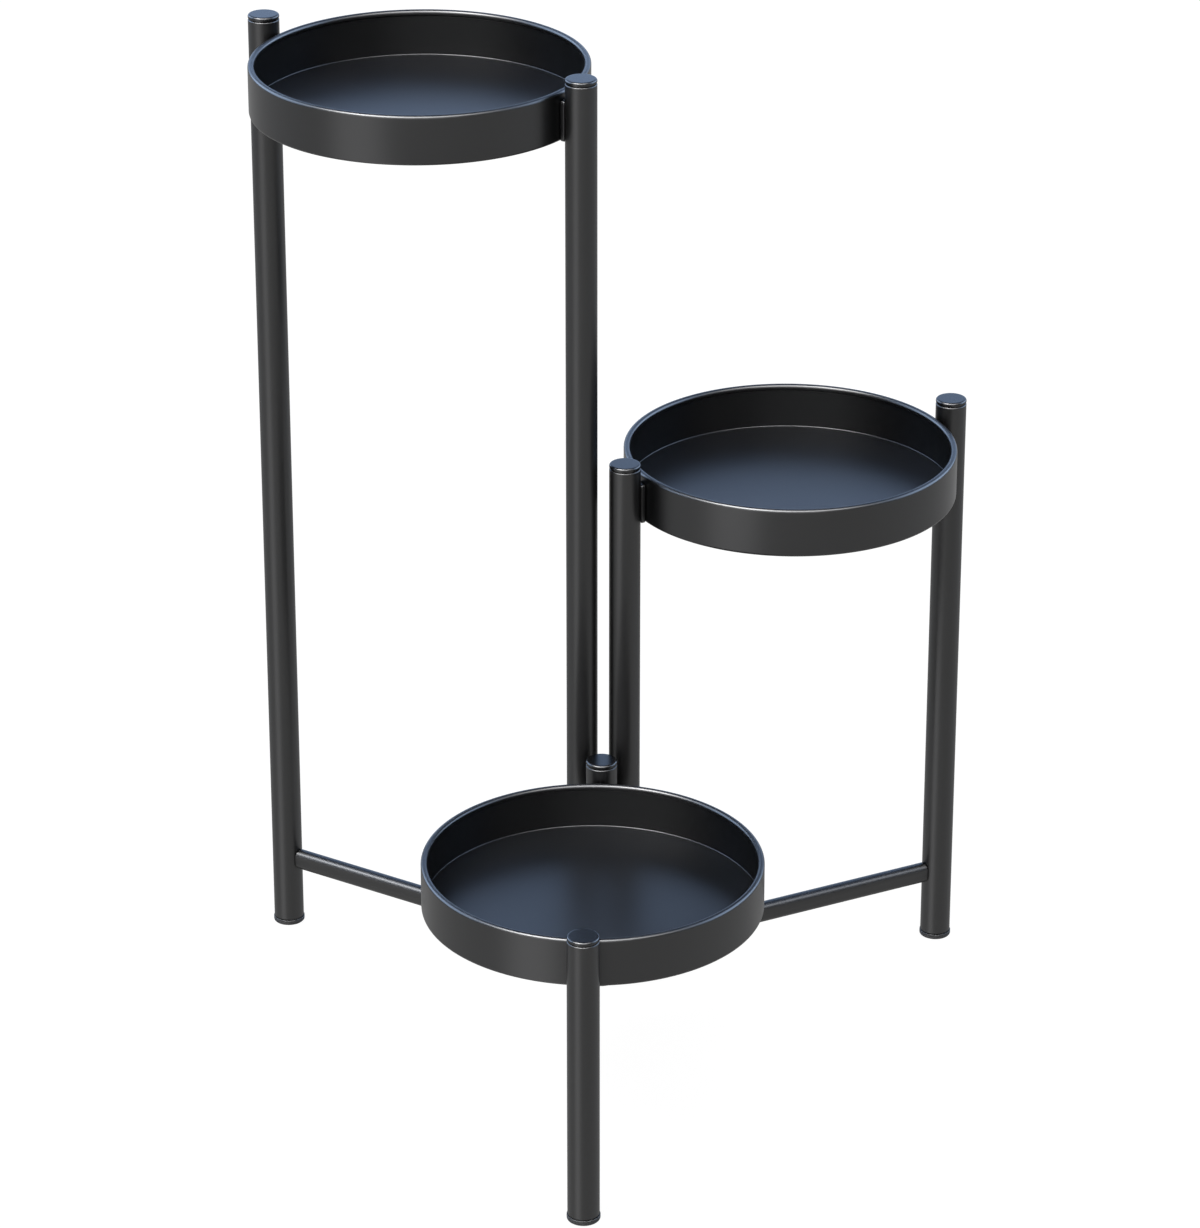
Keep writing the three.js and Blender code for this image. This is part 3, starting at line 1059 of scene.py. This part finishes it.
class STAND_OT_bracket_screws(bpy.types.Operator):
    """Forms the headless screws that hold the brackets' height"""

    bl_idname = "stand.bracket_screws"
    bl_label = "Bracket screws"

    def execute(self, context):
        sizes = context.scene.stand_sizes
        tip = POST_RADIUS + sizes.play
        end = tip + sizes.screw_length
        radius, chamfer = sizes.screw_radius, sizes.screw_chamfer
        body = turned_mesh(
            "screw_body",
            [
                (0, tip, 0),
                (radius - chamfer, tip, 0),
                (radius, tip + chamfer, 0),
                (radius, end - sizes.inner_edge, 0),
                (radius - sizes.inner_edge, end, 0),
                (0, end, 0),
            ],
            sizes.small_sides,
        )
        base = end - sizes.socket_depth
        key = turned_mesh(
            "socket",
            [
                (0, base - sizes.socket_radius / 2, 0),
                (sizes.socket_radius, base, 0),
                (sizes.socket_radius, end + sizes.socket_depth, 0),
                (0, end + sizes.socket_depth, 0),
            ],
            HEX_SIDES,
        )
        lying = facing_out("tall")
        screw = cut_mesh("screw", [(body, lying)], [(key, lying)])
        set_at_levels(screw, "set_screw", "bracket_screw", "screw_steel")
        return {"FINISHED"}


# ---- Operator: floor, light and camera -------------------------------------------------------
FLOOR_HALF = 12.0
FLOOR_COLOUR = (0.20, 0.20, 0.20)
FLOOR_GLOW = 0.92
LAMP_AIM = CAD_BOX[1].z / 2

# The world's colours: to the eye, as soft light, and in what the coat mirrors
SKY_SEEN = (0.985, 0.985, 0.985)
SKY_SOFT = (0.6, 0.6, 0.6)
NEAR_FLOOR = (0.85, 0.85, 0.85)
FAR_FLOOR = (0.50, 0.50, 0.50)
PATCH = (2.00, 2.00, 2.02)
DIM_FRONT = (0.30, 0.31, 0.34)
SOFT_BOX = (3.2, 3.2, 3.3)
DIM_OVERHEAD = (0.5, 0.5, 0.5)
CANOPY = (20.0, 20.0, 20.4)
CANOPY_CORE = (42.0, 42.0, 42.4)
BACK_LOW = (0.90, 1.24, 1.86)
BACK_HIGH = (0.34, 0.48, 0.78)
SIDE_PANELS = (3.8, 5.0, 7.0)
ZENITH = (0.15, 0.18, 0.25)
BLACK = (0.0, 0.0, 0.0)
BOUNCE_LOSS = 0.45

# Where each zone faces, and from where to where along an axis or an aim it comes in
PATCH_TURN = math.radians(-38)
SOFT_BOX_TURN = math.radians(-14)
CANOPY_TURN = math.radians(-40)
CORE_TURN = math.radians(-45)
PATCH_EDGE = (0.915, 0.995)
SOFT_BOX_EDGE = (0.57, 0.985)
CANOPY_EDGE = (-0.8, 0.7)
CORE_EDGE = (0.80, 0.98)
FAR_FLOOR_EDGE = (-0.4, 0.9)
OVERHEAD_EDGE = (0.52, 0.78)
BACK_EDGE = (-0.35, 0.1)
BACK_HIGH_EDGE = (0.0, 0.9)
PANEL_SIDE_EDGE = (0.25, 0.55)
PANEL_FRONT_EDGE = (-0.3, 0.0)
PANEL_FOOT_EDGE = (0.0, 0.15)
PANEL_TOP_EDGE = (0.66, 0.84)
ZENITH_EDGE = (0.88, 0.97)
HORIZON_EDGE = (-0.06, 0.06)
SECOND_BOUNCE = (1.2, 1.8)

CAMERA_TURN = 0.0464
CAMERA_ASIDE = 0.00191
CAMERA_BACK = 3.2042
CAMERA_HEIGHT = 1.7782
CAMERA_PITCH = 0.4268
CAMERA_LENS = 147.40
CAMERA_REACH = 100.0


def studio_floor():
    """A wide pale floor that glows almost white, and keeps a faint shadow."""
    mesh = bpy.data.meshes.new("studio_floor")
    corners = [(-FLOOR_HALF, -FLOOR_HALF), (FLOOR_HALF, -FLOOR_HALF)]
    corners += [(FLOOR_HALF, FLOOR_HALF), (-FLOOR_HALF, FLOOR_HALF)]
    mesh.from_pydata([(x, y, 0.0) for x, y in corners], [], [(0, 1, 2, 3)])
    floor = set_out("studio_floor", mesh)
    material, tree = blank_material("studio_floor")
    lit = tree.add("ShaderNodeBsdfDiffuse", None, {"Color": rgba(FLOOR_COLOUR)})
    glow = tree.add("ShaderNodeEmission", None, {"Strength": FLOOR_GLOW})
    both = tree.add("ShaderNodeAddShader", None, {0: tree.wire(lit), 1: tree.wire(glow)})
    tree.add("ShaderNodeOutputMaterial", None, {"Surface": tree.wire(both)})
    mesh.materials.append(material)
    floor.visible_glossy = False


def studio_sky():
    """Light from all round: pale to the eye, and what the coat mirrors on every side.

    Below the horizon lies a pale studio floor with a brighter patch at the front left. Above it
    are a soft box in front, a bright canopy overhead with its core at the front left, cool light
    from behind, cool panels on both sides and a dark zenith. Where one piece mirrors another, the
    panels are left out and the rest is dimmer, which keeps the trays' inner walls black.
    """
    world = bpy.data.worlds.new("studio_sky")
    world.use_nodes = True
    world.node_tree.nodes.clear()
    tree = Tree(world.node_tree)
    path = tree.add("ShaderNodeLightPath")
    direction = tree.wire(tree.add("ShaderNodeTexCoord"), "Generated")
    parts = tree.add("ShaderNodeSeparateXYZ", None, {"Vector": direction})
    across, along, height = (tree.wire(parts, axis) for axis in "XYZ")
    level = (1.0 - height * height) ** 0.5
    direct = 1.0 - tree.step(tree.wire(path, "Glossy Depth"), *SECOND_BOUNCE)

    def towards(azimuth, edge):
        return tree.step(tree.aim(across, along, azimuth) / level, *edge)

    low = tree.mix(tree.step(along, *FAR_FLOOR_EDGE), rgba(NEAR_FLOOR), rgba(FAR_FLOOR))
    low = tree.mix(towards(PATCH_TURN, PATCH_EDGE), low, rgba(PATCH))

    front = tree.mix(towards(SOFT_BOX_TURN, SOFT_BOX_EDGE), rgba(DIM_FRONT), rgba(SOFT_BOX))
    overhead = tree.mix(towards(CANOPY_TURN, CANOPY_EDGE), rgba(DIM_OVERHEAD), rgba(CANOPY))
    overhead = tree.mix(towards(CORE_TURN, CORE_EDGE), overhead, rgba(CANOPY_CORE))
    front = tree.mix(tree.step(height, *OVERHEAD_EDGE), front, overhead)
    back = tree.mix(tree.step(height, *BACK_HIGH_EDGE), rgba(BACK_LOW), rgba(BACK_HIGH))
    high = tree.mix(tree.step(along, *BACK_EDGE), front, back)

    beside = tree.step(across * across, *PANEL_SIDE_EDGE) * tree.step(along, *PANEL_FRONT_EDGE)
    upright = tree.step(height, *PANEL_FOOT_EDGE) * (1.0 - tree.step(height, *PANEL_TOP_EDGE))
    high = tree.mix(beside * upright * direct, high, rgba(SIDE_PANELS))
    high = tree.mix(tree.step(height, *ZENITH_EDGE), high, rgba(ZENITH))
    high = tree.mix(BOUNCE_LOSS * (1.0 - direct), high, rgba(BLACK))

    mirrored = tree.mix(tree.step(height, *HORIZON_EDGE), low, high)
    soft = tree.mix(tree.wire(path, "Is Glossy Ray"), rgba(SKY_SOFT), mirrored)
    shown = tree.mix(tree.wire(path, "Is Camera Ray"), soft, rgba(SKY_SEEN))
    sky = tree.add("ShaderNodeBackground", None, {"Color": shown, "Strength": 1.0})
    tree.add("ShaderNodeOutputWorld", None, {"Surface": tree.wire(sky)})
    bpy.context.scene.world = world


def soft_box(name, azimuth, elevation, distance, width, height, power, tint):
    """A soft light that faces the stand, at an azimuth from the front and an elevation."""
    light = bpy.data.lights.new(name, "AREA")
    light.shape = "RECTANGLE"
    light.size = width
    light.size_y = height
    light.energy = power
    light.color = tint
    lamp = set_out(name, light)
    around, up = math.radians(azimuth), math.radians(elevation)
    away = Matrix.Rotation(around, 3, "Z") @ Vector((0, -math.cos(up), math.sin(up)))
    lamp.location = Vector((0, 0, LAMP_AIM)) + away * distance
    lamp.rotation_euler = away.to_track_quat("Z", "Y").to_euler()


class STAND_OT_stage(bpy.types.Operator):
    """Sets up the pale floor, the soft studio light and the camera"""

    bl_idname = "stand.stage"
    bl_label = "Floor, light and camera"

    def execute(self, context):
        studio_floor()
        studio_sky()
        soft_box(
            "key_light",
            azimuth=-46,
            elevation=50,
            distance=2.6,
            width=1.2,
            height=1.0,
            power=12,
            tint=(1.0, 0.99, 0.98),
        )
        soft_box(
            "fill_light",
            azimuth=60,
            elevation=30,
            distance=3.0,
            width=1.4,
            height=1.4,
            power=4,
            tint=(0.95, 0.97, 1.0),
        )
        scene = context.scene
        scene.view_settings.view_transform = "Standard"
        camera = bpy.data.cameras.new("photo_camera")
        camera.lens = CAMERA_LENS
        viewer = set_out("photo_camera", camera)
        turn = Matrix.Rotation(CAMERA_TURN, 4, "Z")
        viewer.location = hub() + turn @ Vector((-CAMERA_ASIDE, -CAMERA_BACK, CAMERA_HEIGHT))
        viewer.rotation_euler = (math.pi / 2 - CAMERA_PITCH, 0.0, CAMERA_TURN)
        camera.clip_end = CAMERA_REACH
        scene.camera = viewer
        return {"FINISHED"}


class STAND_PT_panel(bpy.types.Panel):
    """Lists the stand's makers and the sizes and finishes that they use"""

    bl_idname = "STAND_PT_panel"
    bl_label = "Plant Stand"
    bl_space_type = "VIEW_3D"
    bl_region_type = "UI"
    bl_category = "Plant Stand"

    def draw(self, context):
        for maker in MAKERS:
            self.layout.operator(maker.bl_idname)
        for group in (context.scene.stand_sizes, context.scene.stand_finish):
            column = self.layout.column(align=True)
            for name in group.bl_rna.properties.keys():
                if name not in ("name", "rna_type"):
                    column.prop(group, name)


MAKERS = (
    STAND_OT_posts,
    STAND_OT_caps,
    STAND_OT_feet,
    STAND_OT_trays,
    STAND_OT_tray_lugs,
    STAND_OT_crossbars,
    STAND_OT_hinge_brackets,
    STAND_OT_bracket_screws,
    STAND_OT_stage,
)
CLASSES = (StandSizes, StandFinish, *MAKERS, STAND_PT_panel)


def register():
    """Registers the classes and the groups of settings."""
    for each in CLASSES:
        bpy.utils.register_class(each)
    bpy.types.Scene.stand_sizes = PointerProperty(type=StandSizes)
    bpy.types.Scene.stand_finish = PointerProperty(type=StandFinish)


def unregister():
    """Takes the classes and the groups of settings out again."""
    del bpy.types.Scene.stand_finish
    del bpy.types.Scene.stand_sizes
    for each in reversed(CLASSES):
        bpy.utils.unregister_class(each)


def main():
    """Registers the add-on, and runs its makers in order."""
    register()
    for maker in MAKERS:
        category, name = maker.bl_idname.split(".")
        getattr(getattr(bpy.ops, category), name)()


if __name__ == "__main__":
    main()
